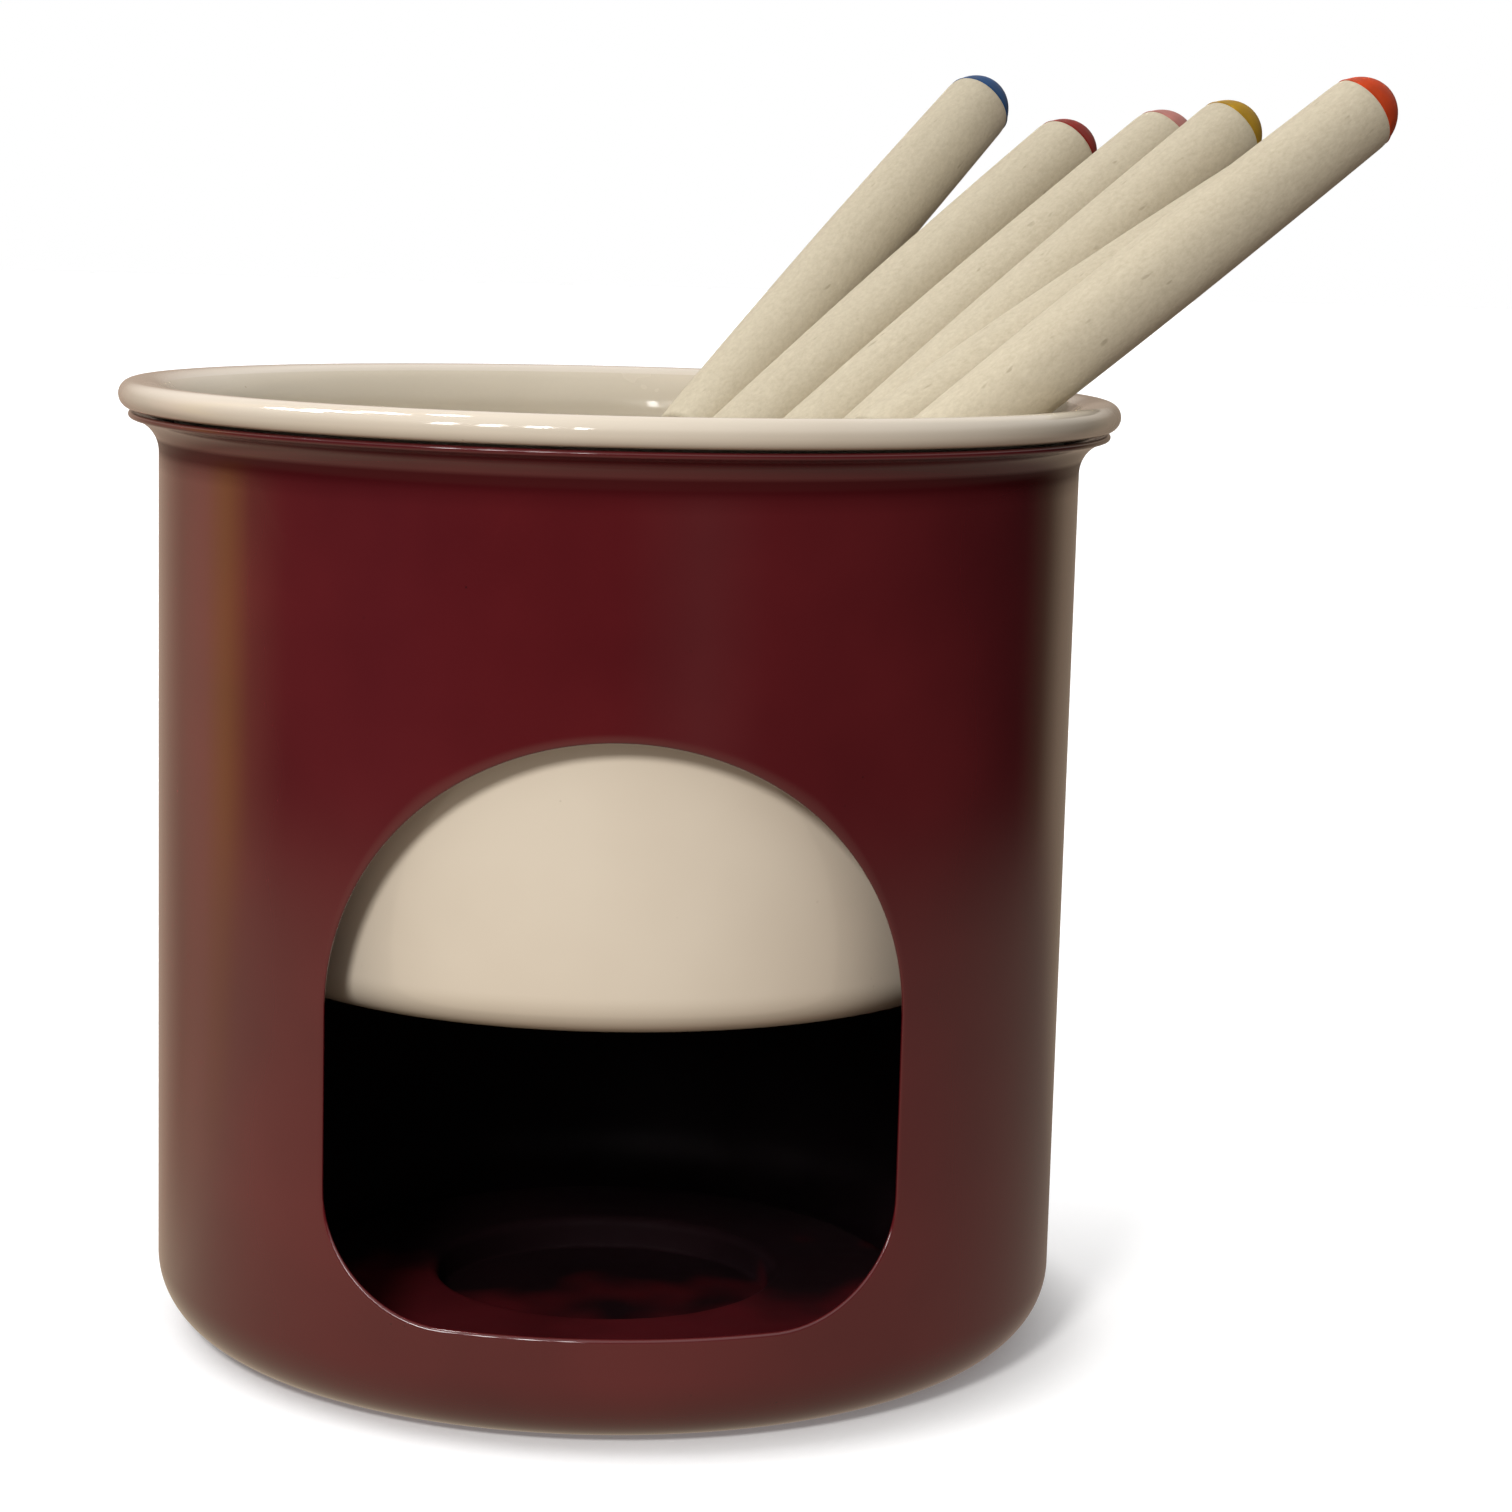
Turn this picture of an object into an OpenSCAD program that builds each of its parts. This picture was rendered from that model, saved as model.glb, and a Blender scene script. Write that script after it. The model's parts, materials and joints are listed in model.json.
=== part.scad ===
// Fondue pot set: an enamelled pot hanging by its rim in a one-piece sheet-steel warmer
// with an arched burner opening, and six long forks with dipped wooden handles that stand
// in the pot. Millimetres, +Z up. The origin is the centre of the base, on the surface the
// warmer stands on; the burner opening faces -Y.

/* [Warmer] */
// Outer diameter of the warmer's straight wall
shell_d = 114.2; // [112:0.2:116]
// Thickness of the enamelled steel sheet
shell_t = 0.8; // [0.6:0.1:1]
// Outer radius of the bottom corner
shell_corner_r = 8.7; // [6:0.1:10]
// Outer diameter of the flared lip that carries the pot
lip_d = 121.6; // [120:0.2:122]
// Height of the raised floor panel, top face
panel_z = 5; // [4:0.5:7]
// Inner diameter of the pressed tealight well
well_d = 43; // [40:0.5:46]

/* [Burner opening] */
// Width of the arch
arch_w = 66.2; // [50:0.2:72]
// Height of the sill above the surface
arch_sill_z = 13.8; // [12:0.1:20]
// Height of the top of the arch
arch_top_z = 82.1; // [70:0.1:90]
// Radius of the two lower corners
arch_corner_r = 14.1; // [5:0.1:20]

/* [Pot] */
// Overall height of the set, to the top of the pot's rim
rim_z = 118.4; // [116:0.1:121]
// Outer diameter of the rolled rim
rim_d = 124; // [122.6:0.2:126]
// Thickness of the rolled rim
rim_bead_d = 3.5; // [3:0.1:4]
// Outer diameter of the pot at its base
pot_base_d = 100; // [96:0.5:102]
// Radius of the flare from the pot's wall out to its rim
pot_flare_r = 5.5; // [5.2:0.1:7]
// Height of the pot's underside
pot_bottom_z = 46.7; // [42:0.1:50]
// Outer radius of the pot's bottom corner
pot_corner_r = 5.6; // [3:0.1:8]
// Thickness of the enamelled pot wall
pot_t = 1.2; // [1:0.1:1.6]

/* [Forks] */
// Length of a fork from the tine points to the end of the handle
fork_l = 172.5; // [168:0.5:178]
// Length of the wooden handle, with its painted end
handle_l = 84; // [76:1:86]
// Largest diameter of the handle
handle_max_d = 10.8; // [10:0.1:10.8]
// Diameter of the handle where its rounded end starts
handle_end_d = 10.2; // [8:0.1:10.4]
// Diameter of the handle where the steel enters
handle_neck_d = 9.7; // [6:0.1:9.8]
// Height of the rounded end
dome_h = 6; // [5:0.1:7]
// Height of its painted part
tip_h = 4.5; // [2:0.1:5]
// Diameter of the steel rod
rod_d = 2.4; // [2:0.1:3]
// Width across the tines
tine_span = 6; // [5:0.1:6.2]
// Length of the tines
tine_l = 20; // [14:1:26]

/* [Fork places] */
// Each fork: tine points across, back and up, bearing from +Y, rise above level
blue_place = [-38.9, -15.3, 56.6, 42.6, 36.6];
red_place = [-43, -21.6, 59.9, 49.1, 32.6];
pink_place = [-35.3, -23.7, 62.1, 52.2, 32.3];
yellow_place = [-31.1, -27.9, 59.1, 55.7, 34];
green_place = [-35.5, -33.5, 68.1, 61, 29.1];
orange_place = [-31.4, -35.3, 57.5, 67.7, 35.6];

/* [Hidden] */
$fn = 96;

// Colours of the enamels, the bare wood and the steel
warmer_red = [0.34, 0.06, 0.08];
pot_cream = [0.85, 0.80, 0.69];
wood_pale = [0.80, 0.74, 0.62];
steel_grey = [0.75, 0.76, 0.78];
paint_blue = [0.10, 0.30, 0.60];
paint_red = [0.65, 0.08, 0.08];
paint_pink = [0.72, 0.40, 0.42];
paint_yellow = [0.72, 0.52, 0.08];
paint_green = [0.16, 0.38, 0.20];
paint_orange = [0.80, 0.25, 0.06];

// Straight pieces in each arc of a pressed outline
arc_steps = 8;
// Gap between the pot's rim and the lip that carries it
seat_gap = 0.25;
// Gap round the rod inside the handle
glue_gap = 0.05;

// The warmer's outline follows the middle of its sheet
half_sheet = shell_t / 2;
shell_mid_r = shell_d / 2 - half_sheet;
corner_mid_r = shell_corner_r - half_sheet;
panel_mid_z = panel_z - half_sheet;
well_mid_r = well_d / 2 + half_sheet;
// Bend round the well, and the softer bends where the panel drops to the foot
well_bend_r = 0.9;
drop_bend_r = 3;
// Where the panel starts to drop, and how steeply
panel_r = 36;
drop_angle = 40;
drop_run = (panel_mid_z - half_sheet - 2 * drop_bend_r * (1 - cos(drop_angle))) / tan(drop_angle);
foot_r = panel_r + 2 * drop_bend_r * sin(drop_angle) + drop_run;
// The lip bends out almost level, close under the pot's rim
lip_angle = 82;
lip_bend_r = (lip_d / 2 - shell_mid_r - half_sheet * cos(lip_angle)) / (1 - cos(lip_angle));
lip_top_z = rim_z - rim_bead_d - seat_gap;
lip_bend_z = lip_top_z - (lip_bend_r + half_sheet) * sin(lip_angle);

// The pot's outline follows the middle of its wall
half_wall = pot_t / 2;
bead_r = rim_bead_d / 2;
bead_ring_r = rim_d / 2 - bead_r;
bead_z = rim_z - bead_r;
pot_corner_mid_r = pot_corner_r - half_wall;
pot_corner = [pot_base_d / 2 - pot_corner_r, pot_bottom_z + pot_corner_r];
pot_flare = [bead_ring_r, rim_z - half_wall - pot_flare_r];
// Lean of the wall that meets the corner and the flare smoothly
flare_run = norm(pot_flare - pot_corner);
wall_lean = atan((pot_flare.x - pot_corner.x) / (pot_flare.y - pot_corner.y))
    - asin((pot_corner_mid_r + pot_flare_r) / flare_run);

// Fork, measured along its axis from the tine points
rod_r = rod_d / 2;
handle_start = fork_l - handle_l;
dome_start = handle_l - dome_h;
tip_start = handle_l - tip_h;
// Distance from the neck to the thickest part of the handle
fat_z = 42;
// Depth of the rod in the handle, and of the hole for it
rod_in = 28;
hole_in = 30;
// Flattened head: its thickness, the width of a tine and the shoulder up to the rod
head_t = 1.4;
tine_w = 1.3;
shoulder_l = 6;
point_l = 3;

// Points of an arc with the direction square to the outline at each: [r, z, direction]
function bend(c, r, from, to, flip = 0) =
    [for (i = [0:arc_steps]) let (a = from + (to - from) * i / arc_steps)
        [c.x + r * cos(a), c.y + r * sin(a), a + flip]];
// One face of a sheet, a distance from its middle
function face(path, d) = [for (p = path) [p[0] + d * cos(p[2]), p[1] + d * sin(p[2])]];
// Both faces, as a closed outline
function sheet(path, d) =
    let (back = face(path, -d))
    concat(face(path, d), [for (i = [len(path) - 1:-1:0]) back[i]]);

warmer_path = concat(
    [[0, half_sheet, -90]],
    bend([well_mid_r - well_bend_r, half_sheet + well_bend_r], well_bend_r, -90, 0),
    bend([well_mid_r + well_bend_r, panel_mid_z - well_bend_r], well_bend_r, 180, 90, 180),
    bend([panel_r, panel_mid_z - drop_bend_r], drop_bend_r, 90, 90 - drop_angle, 180),
    bend([foot_r, half_sheet + drop_bend_r], drop_bend_r, 270 - drop_angle, 270),
    bend([shell_mid_r - corner_mid_r, half_sheet + corner_mid_r], corner_mid_r, -90, 0),
    bend([shell_mid_r + lip_bend_r, lip_bend_z], lip_bend_r, 180, 180 - lip_angle, 180)
);

pot_path = concat(
    [[0, pot_bottom_z + half_wall, -90]],
    bend(pot_corner, pot_corner_mid_r, -90, -wall_lean),
    bend(pot_flare, pot_flare_r, 180 - wall_lean, 90, 180)
);

// Outline of the burner opening, a round-topped arch with two rounded lower corners
module arch_outline() {
    spring_z = arch_top_z - arch_w / 2;
    corner_z = arch_sill_z + arch_corner_r;
    corner_x = arch_w / 2 - arch_corner_r;
    translate([0, spring_z]) circle(d = arch_w);
    translate([-arch_w / 2, corner_z]) square([arch_w, spring_z - corner_z]);
    translate([-corner_x, arch_sill_z]) square([2 * corner_x, corner_z - arch_sill_z]);
    for (side = [-1, 1])
        translate([side * corner_x, corner_z]) circle(r = arch_corner_r);
}

module warmer() {
    color(warmer_red)
    difference() {
        rotate_extrude() polygon(sheet(warmer_path, half_sheet));
        rotate([90, 0, 0]) linear_extrude(shell_d) arch_outline();
    }
}

module pot() {
    color(pot_cream)
    rotate_extrude() {
        polygon(sheet(pot_path, half_wall));
        translate([bead_ring_r, bead_z]) circle(r = bead_r, $fn = 32);
    }
}

// Stands a fork's parts in the pot: place is [across, back, up, bearing, rise]
module stand(place) {
    translate([place[0], place[1], place[2]])
        rotate([0, 0, -place[3]])
            rotate([place[4] - 90, 0, 0])
                children();
}

// Radius of the handle at a height above its neck: it swells, then tapers to the rounded end
function handle_r(z) =
    z < fat_z
    ? (handle_neck_d + (handle_max_d - handle_neck_d) * sin(90 * z / fat_z)) / 2
    : (handle_end_d + (handle_max_d - handle_end_d) * cos(90 * (z - fat_z) / (dome_start - fat_z))) / 2;
// Outline of the rounded end between two heights, from its start
function dome(from, to, steps) =
    let (a = asin(from / dome_h), b = asin(to / dome_h))
    [for (i = [0:steps]) let (t = a + (b - a) * i / steps)
        [handle_end_d / 2 * cos(t), dome_start + dome_h * sin(t)]];

module fork_handle() {
    edge = 0.5;
    color(wood_pale)
    translate([0, 0, handle_start])
        rotate_extrude($fn = 48)
            polygon(concat(
                [[rod_r + glue_gap, 0], [handle_neck_d / 2 - edge, 0]],
                [for (i = [0:6]) let (z = edge + (fat_z - edge) * i / 6) [handle_r(z), z]],
                [for (i = [1:7]) let (z = fat_z + (dome_start - fat_z) * i / 8) [handle_r(z), z]],
                dome(0, tip_start - dome_start, 3),
                [[0, tip_start], [0, hole_in], [rod_r + glue_gap, hole_in]]
            ));
}

module fork_tip() {
    translate([0, 0, handle_start])
        rotate_extrude($fn = 48)
            polygon(concat([[0, tip_start]], dome(tip_start - dome_start, dome_h, 8)));
}

// One tine with its point and a small barb on the inner side; x is its outer edge
module tine() {
    barb = 0.5;
    polygon([
        [0, tine_l], [0, point_l * 0.8], [-tine_w * 0.4, 0], [-tine_w, point_l],
        [-tine_w - barb, point_l + 1.4], [-tine_w, point_l + 1.6], [-tine_w, tine_l]
    ]);
}

module fork_steel() {
    half_span = tine_span / 2;
    crotch_r = half_span - tine_w;
    color(steel_grey) {
        translate([0, head_t / 2, 0]) rotate([90, 0, 0]) linear_extrude(head_t) {
            for (side = [0, 1]) mirror([side, 0]) translate([half_span, 0]) tine();
            difference() {
                polygon(concat(
                    [[-half_span, tine_l], [half_span, tine_l]],
                    [for (i = [0:6]) [rod_r + (half_span - rod_r) * (1 + cos(30 * i)) / 2,
                        tine_l + 2 + shoulder_l * i / 6]],
                    [for (i = [6:-1:0]) [-rod_r - (half_span - rod_r) * (1 + cos(30 * i)) / 2,
                        tine_l + 2 + shoulder_l * i / 6]]
                ));
                translate([0, tine_l]) circle(r = crotch_r, $fn = 32);
            }
        }
        translate([0, 0, tine_l + 4])
            cylinder(r = rod_r, h = handle_start + rod_in - tine_l - 4, $fn = 32);
    }
}

module blue_handle() { stand(blue_place) fork_handle(); }
module blue_tip() { color(paint_blue) stand(blue_place) fork_tip(); }
module blue_steel() { stand(blue_place) fork_steel(); }

module red_handle() { stand(red_place) fork_handle(); }
module red_tip() { color(paint_red) stand(red_place) fork_tip(); }
module red_steel() { stand(red_place) fork_steel(); }

module pink_handle() { stand(pink_place) fork_handle(); }
module pink_tip() { color(paint_pink) stand(pink_place) fork_tip(); }
module pink_steel() { stand(pink_place) fork_steel(); }

module yellow_handle() { stand(yellow_place) fork_handle(); }
module yellow_tip() { color(paint_yellow) stand(yellow_place) fork_tip(); }
module yellow_steel() { stand(yellow_place) fork_steel(); }

module green_handle() { stand(green_place) fork_handle(); }
module green_tip() { color(paint_green) stand(green_place) fork_tip(); }
module green_steel() { stand(green_place) fork_steel(); }

module orange_handle() { stand(orange_place) fork_handle(); }
module orange_tip() { color(paint_orange) stand(orange_place) fork_tip(); }
module orange_steel() { stand(orange_place) fork_steel(); }

warmer();
pot();
blue_handle();
blue_tip();
blue_steel();
red_handle();
red_tip();
red_steel();
pink_handle();
pink_tip();
pink_steel();
yellow_handle();
yellow_tip();
yellow_steel();
green_handle();
green_tip();
green_steel();
orange_handle();
orange_tip();
orange_steel();
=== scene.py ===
"""Looks for the fondue pot set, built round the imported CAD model. Metres, +Z up."""
import json
import math
import random

import bmesh
import bpy
from mathutils import Matrix, Vector


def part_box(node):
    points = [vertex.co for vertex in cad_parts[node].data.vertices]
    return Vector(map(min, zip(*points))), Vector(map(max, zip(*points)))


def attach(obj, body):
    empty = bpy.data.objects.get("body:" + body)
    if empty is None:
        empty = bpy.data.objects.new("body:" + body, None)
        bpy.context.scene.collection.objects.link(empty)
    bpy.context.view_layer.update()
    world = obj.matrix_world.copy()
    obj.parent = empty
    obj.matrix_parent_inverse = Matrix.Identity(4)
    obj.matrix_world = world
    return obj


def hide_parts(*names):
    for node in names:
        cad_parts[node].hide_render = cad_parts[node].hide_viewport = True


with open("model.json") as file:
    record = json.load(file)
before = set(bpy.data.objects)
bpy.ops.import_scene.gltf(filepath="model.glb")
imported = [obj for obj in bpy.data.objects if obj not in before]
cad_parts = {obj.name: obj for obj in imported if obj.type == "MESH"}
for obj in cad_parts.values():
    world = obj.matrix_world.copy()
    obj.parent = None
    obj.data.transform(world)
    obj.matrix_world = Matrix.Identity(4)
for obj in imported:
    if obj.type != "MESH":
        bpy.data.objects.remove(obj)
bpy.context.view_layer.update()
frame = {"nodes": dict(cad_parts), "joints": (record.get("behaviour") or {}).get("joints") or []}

MM = 0.001
FORKS = ("blue", "red", "pink", "yellow", "green", "orange")
random.seed(11)


# ---------------------------------------------------------------- node helpers
def material(name):
    """A new material with an empty node tree, and a function that adds nodes to it."""
    mat = bpy.data.materials.new(name)
    mat.use_nodes = True
    tree = mat.node_tree
    tree.nodes.clear()

    def add(kind, **values):
        node = tree.nodes.new("ShaderNode" + kind)
        for key, value in values.items():
            if hasattr(node, key):
                setattr(node, key, value)
            else:
                node.inputs[key.replace("_", " ").title()].default_value = value
        return node

    return mat, tree, add


def link(tree, a, a_socket, b, b_socket):
    tree.links.new(a.outputs[a_socket], b.inputs[b_socket])


def shader(tree, add, **values):
    """The principled shader, wired to the output."""
    bsdf = add("BsdfPrincipled")
    for key, value in values.items():
        bsdf.inputs[key.replace("_", " ")].default_value = value
    out = add("OutputMaterial")
    link(tree, bsdf, "BSDF", out, "Surface")
    return bsdf


def ramp(add, stops):
    node = add("ValToRGB")
    elements = node.color_ramp.elements
    while len(elements) < len(stops):
        elements.new(0.5)
    for element, (at, colour) in zip(elements, stops):
        element.position = at
        element.color = (*colour, 1.0)
    return node


def noise(tree, add, coords, scale, detail=2.0, rough=0.5, stretch=None):
    """A noise texture on object coordinates, stretched along an axis if asked."""
    node = add("TexNoise")
    node.inputs["Scale"].default_value = scale
    node.inputs["Detail"].default_value = detail
    node.inputs["Roughness"].default_value = rough
    if stretch:
        mapping = add("Mapping")
        mapping.inputs["Scale"].default_value = stretch
        link(tree, coords, "Object", mapping, "Vector")
        link(tree, mapping, "Vector", node, "Vector")
    else:
        link(tree, coords, "Object", node, "Vector")
    return node


def spread(tree, add, source, socket, low, high, from_low=0.3, from_high=0.7):
    """Maps a texture value onto a range."""
    node = add("MapRange")
    node.inputs["From Min"].default_value = from_low
    node.inputs["From Max"].default_value = from_high
    node.inputs["To Min"].default_value = low
    node.inputs["To Max"].default_value = high
    link(tree, source, socket, node, "Value")
    return node


def bump(tree, add, bsdf, source, socket, strength, distance):
    node = add("Bump")
    node.inputs["Strength"].default_value = strength
    node.inputs["Distance"].default_value = distance
    link(tree, source, socket, node, "Height")
    link(tree, node, "Normal", bsdf, "Normal")
    return node


# ------------------------------------------------------------------- materials
def enamel(name, deep, light, rough, speck, painted_lip_shade=None):
    """Glassy enamel: soft colour drift, tiny specks, and the faint ripple of a fired coat.

    The last argument lists (height, amount) of a painted shade under the lip: there the gloss fades and the
    colour is darkened."""
    mat, tree, add = material(name)
    bsdf = shader(tree, add, Roughness=rough, Coat_Weight=0.6, Coat_Roughness=0.05)
    coords = add("TexCoord")
    drift = noise(tree, add, coords, 28.0, 3.0)
    tone = ramp(add, [(0.35, deep), (0.65, light)])
    link(tree, drift, "Fac", tone, "Fac")
    cells = add("TexVoronoi")
    cells.inputs["Scale"].default_value = 420.0
    link(tree, coords, "Object", cells, "Vector")
    dots = spread(tree, add, cells, "Distance", 1.0, 0.0, 0.05, 0.09)
    mix = add("Mix")
    mix.data_type = "RGBA"
    mix.inputs["B"].default_value = (*speck, 1.0)
    gate = noise(tree, add, coords, 95.0, 1.0)
    few = spread(tree, add, gate, "Fac", 0.0, 0.55, 0.62, 0.70)
    both = add("Math")
    both.operation = "MULTIPLY"
    link(tree, dots, "Result", both, 0)
    link(tree, few, "Result", both, 1)
    link(tree, both, "Value", mix, "Factor")
    link(tree, tone, "Color", mix, "A")
    link(tree, mix, "Result", bsdf, "Base Color")
    smear = noise(tree, add, coords, 60.0, 4.0)
    gloss = spread(tree, add, smear, "Fac", rough * 0.8, rough * 1.35)
    link(tree, gloss, "Result", bsdf, "Roughness")
    if painted_lip_shade:
        place = add("SeparateXYZ")
        link(tree, coords, "Object", place, "Vector")
        first, last = painted_lip_shade[0][0], painted_lip_shade[-1][0]
        height = spread(tree, add, place, "Z", 0.0, 1.0, first, last)
        share = ramp(add, [((z - first) / (last - first), (amount,) * 3) for z, amount in painted_lip_shade])
        link(tree, height, "Result", share, "Fac")
        # here the coat carries all the gloss, so that it can fade in the painted shade under the lip
        bsdf.inputs["Specular IOR Level"].default_value = 0.05
        bsdf.inputs["Coat IOR"].default_value = 1.66
        bsdf.inputs["Coat Roughness"].default_value = 0.12
        coat = spread(tree, add, share, "Color", 1.0, 0.0, 0.0, 1.0)
        link(tree, coat, "Result", bsdf, "Coat Weight")
        # painted shade: the colour is mixed towards a deeper red in the height band under the lip
        shade = add("Mix")
        shade.data_type = "RGBA"
        shade.inputs["B"].default_value = (*(c * 0.6 for c in deep), 1.0)
        link(tree, share, "Color", shade, "Factor")
        link(tree, mix, "Result", shade, "A")
        link(tree, shade, "Result", bsdf, "Base Color")
    peel = noise(tree, add, coords, 230.0, 1.5)
    bump(tree, add, bsdf, peel, "Fac", 0.05, 0.0003)
    return mat


def ground_coat(name, colour, shade_from, shade_to):
    """The thin dull coat inside the warmer: the same red, with a painted shade that darkens it further in."""
    mat, tree, add = material(name)
    bsdf = shader(tree, add, Roughness=0.6, Specular_IOR_Level=0.12)
    coords = add("TexCoord")
    cloud = noise(tree, add, coords, 40.0, 4.0, 0.6)
    tone = ramp(add, [(0.3, tuple(c * 0.7 for c in colour)), (0.7, tuple(c * 1.25 for c in colour))])
    link(tree, cloud, "Fac", tone, "Fac")
    drift = noise(tree, add, coords, 55.0, 2.0, 0.5)
    wander = spread(tree, add, drift, "Fac", -0.016, 0.016)
    place = add("SeparateXYZ")
    link(tree, coords, "Object", place, "Vector")
    reach = add("Math")
    reach.operation = "ADD"
    link(tree, place, "Y", reach, 0)
    link(tree, wander, "Result", reach, 1)
    # painted shade: the red darkens towards the back of the warmer, where the light through the arch does not
    # reach
    painted_shade = spread(tree, add, reach, "Value", 0.0, 0.93, shade_from, shade_to)
    mix = add("Mix")
    mix.data_type = "RGBA"
    mix.inputs["B"].default_value = (0.0035, 0.0035, 0.0045, 1.0)
    link(tree, painted_shade, "Result", mix, "Factor")
    link(tree, tone, "Color", mix, "A")
    link(tree, mix, "Result", bsdf, "Base Color")
    rough = spread(tree, add, cloud, "Fac", 0.5, 0.75)
    link(tree, rough, "Result", bsdf, "Roughness")
    bump(tree, add, bsdf, cloud, "Fac", 0.1, 0.0002)
    return mat


def wood(name, seed):
    """Pale close-grained wood, sanded dull: fine fibres along the handle, specks, and a few pores."""
    mat, tree, add = material(name)
    bsdf = shader(tree, add, Roughness=0.7, Specular_IOR_Level=0.3)
    coords = add("TexCoord")
    shift = add("Mapping")
    shift.inputs["Location"].default_value = (0.0, 0.0, seed)
    link(tree, coords, "Object", shift, "Vector")

    def grain(scale, detail, rough, stretch):
        node = add("TexNoise")
        node.inputs["Scale"].default_value = scale
        node.inputs["Detail"].default_value = detail
        node.inputs["Roughness"].default_value = rough
        mapping = add("Mapping")
        mapping.inputs["Scale"].default_value = stretch
        link(tree, shift, "Vector", mapping, "Vector")
        link(tree, mapping, "Vector", node, "Vector")
        return node

    fibre = grain(1.0, 5.0, 0.6, (1500.0, 1500.0, 520.0))
    band = grain(1.0, 2.0, 0.5, (190.0, 190.0, 22.0))
    speck = grain(1.0, 3.0, 0.7, (1900.0, 1900.0, 1200.0))
    mean = add("Mix")
    mean.data_type = "FLOAT"
    mean.inputs["Factor"].default_value = 0.35
    link(tree, fibre, "Fac", mean, "A")
    link(tree, band, "Fac", mean, "B")
    both = add("Mix")
    both.data_type = "FLOAT"
    both.inputs["Factor"].default_value = 0.52
    link(tree, mean, "Result", both, "A")
    link(tree, speck, "Fac", both, "B")
    tone = ramp(add, [(0.36, WOOD_DARK), (0.5, WOOD_MID), (0.64, WOOD_LIGHT)])
    link(tree, both, "Result", tone, "Fac")
    pores = grain(1.0, 1.0, 0.5, (900.0, 900.0, 330.0))
    dark = spread(tree, add, pores, "Fac", 0.0, 0.4, 0.73, 0.80)
    mix = add("Mix")
    mix.data_type = "RGBA"
    mix.inputs["B"].default_value = (0.22, 0.17, 0.11, 1.0)
    link(tree, dark, "Result", mix, "Factor")
    link(tree, tone, "Color", mix, "A")
    link(tree, mix, "Result", bsdf, "Base Color")
    rough = spread(tree, add, fibre, "Fac", 0.62, 0.8)
    link(tree, rough, "Result", bsdf, "Roughness")
    bump(tree, add, bsdf, both, "Result", 0.28, 0.00022)
    return mat


def paint(name, colour):
    """Dipped paint over a wooden end: nearly matt, a little grain showing through, soft sags."""
    mat, tree, add = material(name)
    bsdf = shader(tree, add, Roughness=0.5, Specular_IOR_Level=0.12)
    coords = add("TexCoord")
    sags = noise(tree, add, coords, 420.0, 3.0)
    deep = tuple(c * 0.82 for c in colour)
    light = tuple(c * 1.15 + 0.002 for c in colour)
    tone = ramp(add, [(0.3, deep), (0.7, light)])
    link(tree, sags, "Fac", tone, "Fac")
    link(tree, tone, "Color", bsdf, "Base Color")
    rough = spread(tree, add, sags, "Fac", 0.42, 0.6)
    link(tree, rough, "Result", bsdf, "Roughness")
    bump(tree, add, bsdf, sags, "Fac", 0.15, 0.0003)
    return mat


def steel(name):
    """Drawn stainless rod: fine lines along the fork and a slight change of polish."""
    mat, tree, add = material(name)
    bsdf = shader(tree, add, Metallic=1.0, Roughness=0.24)
    coords = add("TexCoord")
    lines = noise(tree, add, coords, 1.0, 3.0, 0.5, (2600.0, 2600.0, 60.0))
    tone = ramp(add, [(0.3, (0.56, 0.56, 0.56)), (0.7, (0.70, 0.69, 0.68))])
    link(tree, lines, "Fac", tone, "Fac")
    link(tree, tone, "Color", bsdf, "Base Color")
    rough = spread(tree, add, lines, "Fac", 0.18, 0.34)
    link(tree, rough, "Result", bsdf, "Roughness")
    bump(tree, add, bsdf, lines, "Fac", 0.08, 0.0001)
    return mat


# -------------------------------------------------------------- mesh helpers
def mesh_object(name, verts, faces, mat, matrix=None, sharp=40.0):
    mesh = bpy.data.meshes.new(name)
    mesh.from_pydata([tuple(v) for v in verts], [], faces)
    mesh.validate()
    bm = bmesh.new()
    bm.from_mesh(mesh)
    bmesh.ops.remove_doubles(bm, verts=bm.verts, dist=1e-7)
    bmesh.ops.recalc_face_normals(bm, faces=bm.faces)
    bm.to_mesh(mesh)
    bm.free()
    mesh.polygons.foreach_set("use_smooth", [True] * len(mesh.polygons))
    mesh.set_sharp_from_angle(angle=math.radians(sharp))
    mesh.materials.append(mat)
    obj = bpy.data.objects.new(name, mesh)
    bpy.context.scene.collection.objects.link(obj)
    if matrix is not None:
        obj.matrix_world = matrix
    return obj


def arc(centre, radius, start, end, steps):
    """Points of an arc in (r, z), angles in degrees."""
    points = []
    for i in range(steps + 1):
        a = math.radians(start + (end - start) * i / steps)
        points.append((centre[0] + radius * math.cos(a), centre[1] + radius * math.sin(a)))
    return points


def lathe(outline, columns):
    """Vertices and faces of an outline in (r, z) turned about Z; ends on the axis are capped."""
    verts, faces, rings = [], [], []
    for r, z in outline:
        if r < 1e-7:
            rings.append([len(verts)])
            verts.append((0.0, 0.0, z))
        else:
            rings.append(list(range(len(verts), len(verts) + columns)))
            for j in range(columns):
                a = 2 * math.pi * j / columns
                verts.append((r * math.sin(a), -r * math.cos(a), z))
    for low, high in zip(rings, rings[1:]):
        for j in range(columns):
            k = (j + 1) % columns
            if len(low) == 1:
                faces.append((low[0], high[k], high[j]))
            elif len(high) == 1:
                faces.append((low[j], low[k], high[0]))
            else:
                faces.append((low[j], low[k], high[k], high[j]))
    return verts, faces


def finish_piece(obj, body, node):
    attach(obj, body)
    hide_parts(node)


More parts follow.
